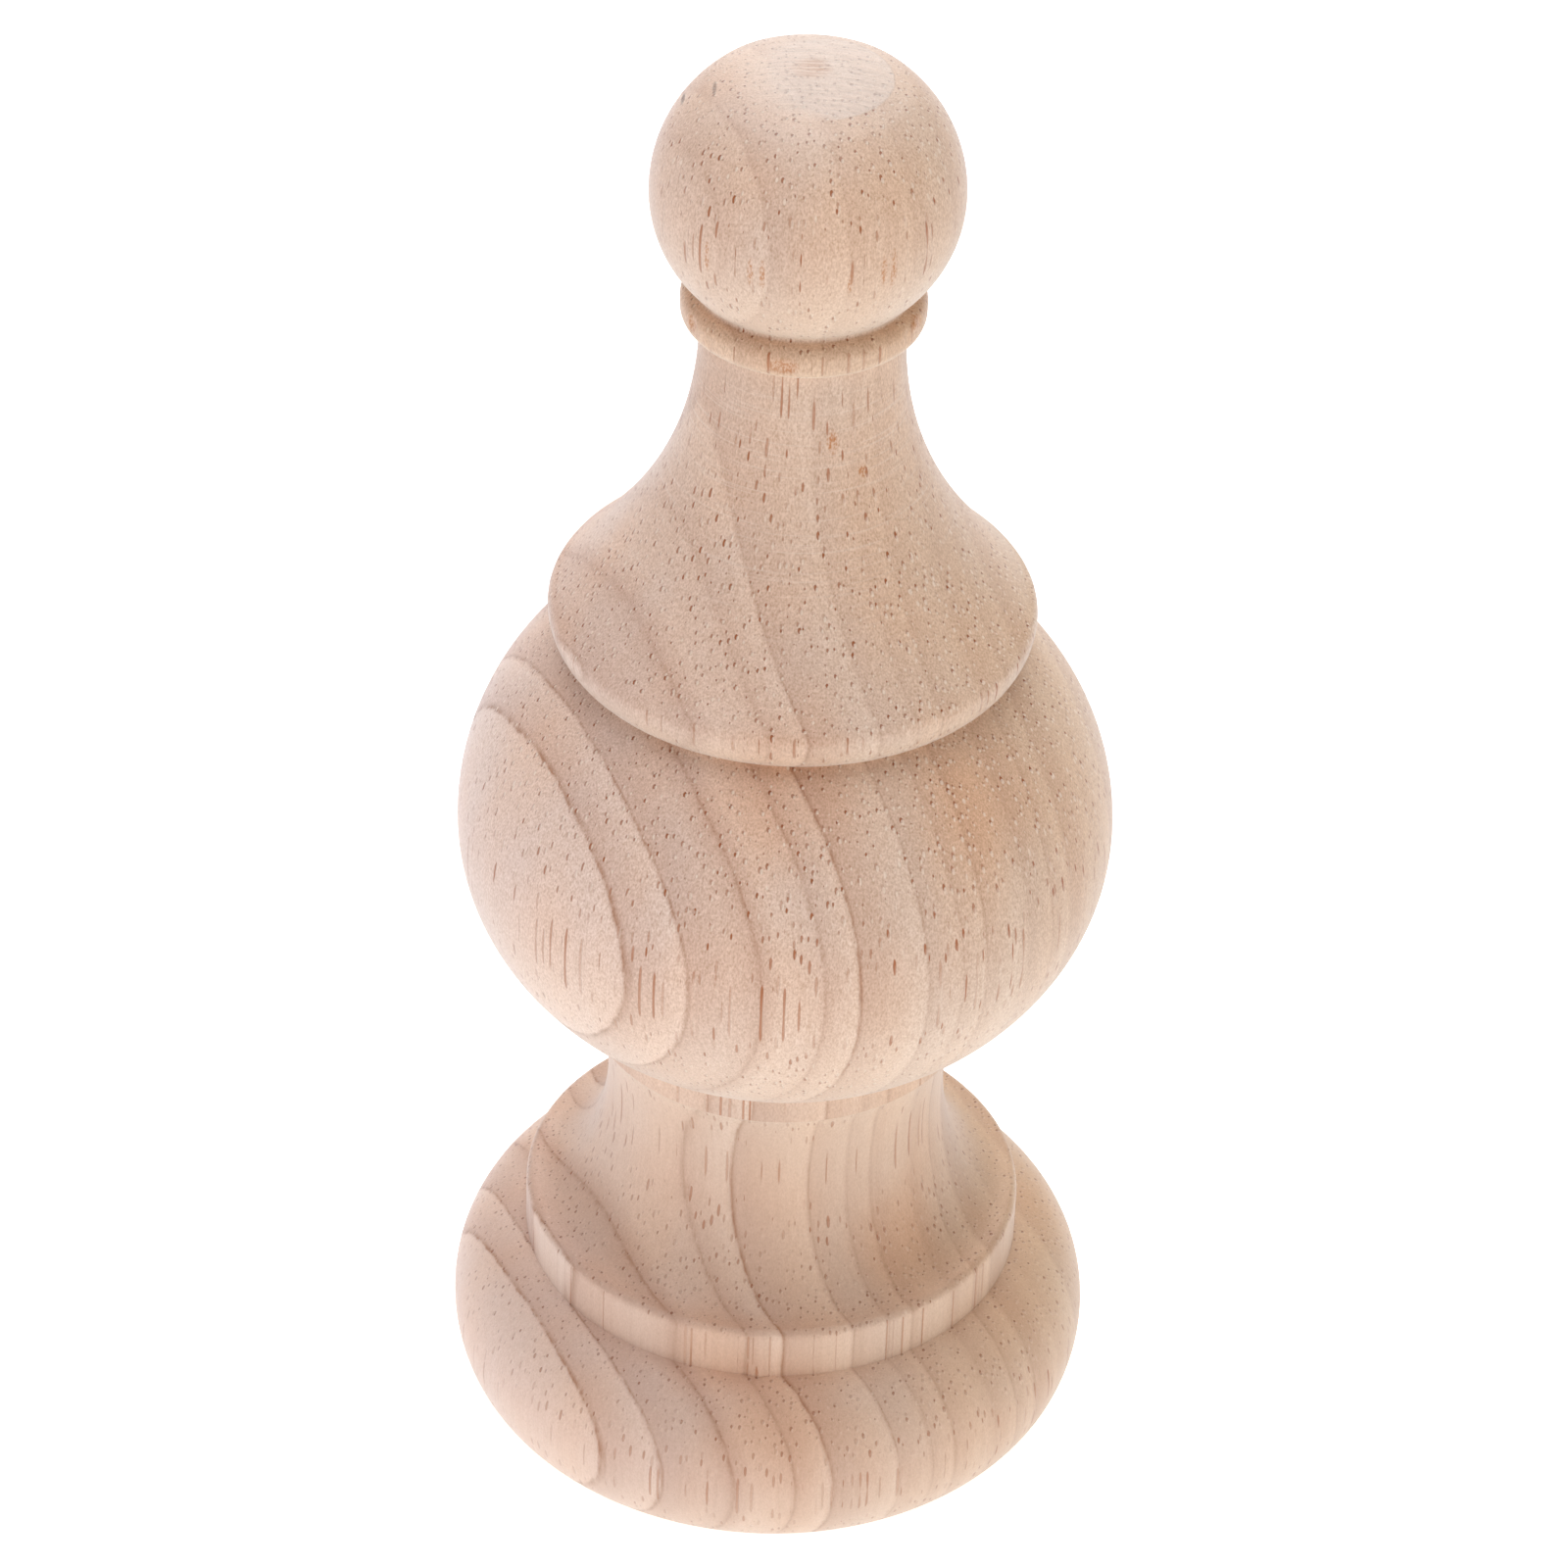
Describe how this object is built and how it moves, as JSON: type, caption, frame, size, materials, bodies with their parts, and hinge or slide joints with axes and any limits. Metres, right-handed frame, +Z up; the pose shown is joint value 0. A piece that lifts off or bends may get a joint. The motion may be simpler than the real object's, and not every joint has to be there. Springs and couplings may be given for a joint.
{
  "type": "wooden finial",
  "caption": "Turned solid wooden finial: small ball knob and beaded collar over a flared skirt, a large squashed ball, a hollow waist and a rolled flat-bottomed foot.",
  "frame": {"origin": "middle of the flat underside, on the turning axis", "axes": "+Z up along the turning axis, from the foot to the knob; X and Y lie in the underside and are free to choose, because the solid is round"},
  "size_m": [0.0556, 0.0556, 0.1322],
  "materials": {
    "rubberwood": "bare sanded rubberwood, matt, no stain or varnish"
  },
  "bodies": {
    "root": {"finial": "rubberwood"}
  },
  "joints": []
}
